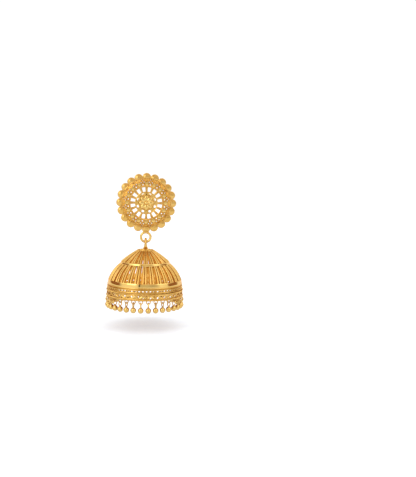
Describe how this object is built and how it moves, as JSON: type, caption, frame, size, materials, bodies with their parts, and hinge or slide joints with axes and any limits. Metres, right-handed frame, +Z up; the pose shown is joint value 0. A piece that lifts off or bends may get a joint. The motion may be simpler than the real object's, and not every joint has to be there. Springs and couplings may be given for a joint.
{
  "type": "jhumka earring",
  "caption": "Bell-shaped gold drop earring: a pierced round stud, a ring and bail, and a hollow wirework bell with a fringe of small balls",
  "frame": {"origin": "on the ear post's axis, in the plane of the stud's back rim, where the ear lobe rests", "axes": "+X to the right as the stud is faced, +Y back along the ear post, +Z up; the stud faces -Y"},
  "size_m": [0.0232, 0.0233, 0.0397],
  "materials": {
    "filigree_gold": "22-carat yellow gold, pierced and soldered wire, satin with bright edges",
    "polished_gold": "22-carat yellow gold, polished"
  },
  "bodies": {
    "stud": {"rosette": "filigree_gold", "hang_ring": "polished_gold", "ear_post": "polished_gold"},
    "jhumka": {"bail": "polished_gold", "dome_cage": "filigree_gold", "border": "filigree_gold", "bead_drop_01": "polished_gold", "bead_drop_02": "polished_gold", "bead_drop_03": "polished_gold", "bead_drop_04": "polished_gold", "bead_drop_05": "polished_gold", "bead_drop_06": "polished_gold", "bead_drop_07": "polished_gold", "bead_drop_08": "polished_gold", "bead_drop_09": "polished_gold", "bead_drop_10": "polished_gold", "bead_drop_11": "polished_gold", "bead_drop_12": "polished_gold", "bead_drop_13": "polished_gold", "bead_drop_14": "polished_gold", "bead_drop_15": "polished_gold", "bead_drop_16": "polished_gold", "bead_drop_17": "polished_gold", "bead_drop_18": "polished_gold", "bead_drop_19": "polished_gold", "bead_drop_20": "polished_gold", "bead_drop_21": "polished_gold", "bead_drop_22": "polished_gold", "bead_drop_23": "polished_gold", "bead_drop_24": "polished_gold", "bead_drop_25": "polished_gold", "bead_drop_26": "polished_gold", "bead_drop_27": "polished_gold", "bead_drop_28": "polished_gold", "bead_drop_29": "polished_gold", "bead_drop_30": "polished_gold", "bead_drop_31": "polished_gold", "bead_drop_32": "polished_gold"}
  },
  "joints": [
    {"name": "swing", "type": "hinge", "parent": "stud", "child": "jhumka", "pos_m": [0, -0.00035, -0.01152], "axis": [1, 0, 0], "range_deg": [-115, 85]}
  ]
}
